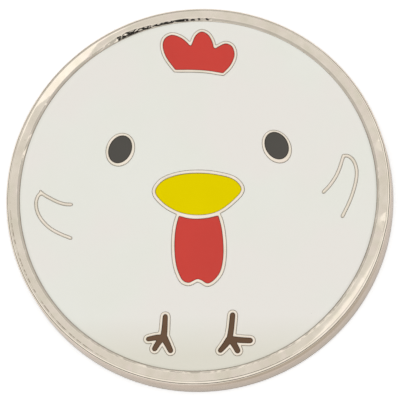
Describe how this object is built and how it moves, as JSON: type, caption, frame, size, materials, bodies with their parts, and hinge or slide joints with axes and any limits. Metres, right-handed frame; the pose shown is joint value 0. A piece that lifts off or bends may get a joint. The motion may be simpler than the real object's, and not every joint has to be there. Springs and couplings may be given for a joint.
{
  "type": "golf ball marker",
  "caption": "Round coin-shaped golf ball marker: plated metal disc with a rim, raised lines filled with coloured enamel, and a magnet in its back.",
  "frame": {"origin": "centre of the flat back face, on the surface the marker lies on", "axes": "+Z out of the enamelled face, along the coin's axis; +Y towards the comb, the top of the picture; +X to the picture's right"},
  "size_m": [0.025, 0.025, 0.0026],
  "materials": {
    "plated_metal": "polished nickel plate over cast zinc alloy",
    "white_enamel": "glossy, polished level with the metal lines",
    "red_enamel": "glossy",
    "yellow_enamel": "glossy",
    "black_enamel": "glossy",
    "brown_enamel": "glossy",
    "magnet_plating": "satin nickel plate over sintered magnet",
    "adhesive": "cured epoxy"
  },
  "bodies": {
    "root": {"marker_body": "plated_metal", "white_enamel": "white_enamel", "comb_enamel": "red_enamel", "beak_enamel": "yellow_enamel", "wattle_enamel": "red_enamel", "left_eye_enamel": "black_enamel", "right_eye_enamel": "black_enamel", "left_foot_enamel": "brown_enamel", "right_foot_enamel": "brown_enamel", "magnet_disc": "magnet_plating", "magnet_adhesive": "adhesive"}
  },
  "joints": []
}
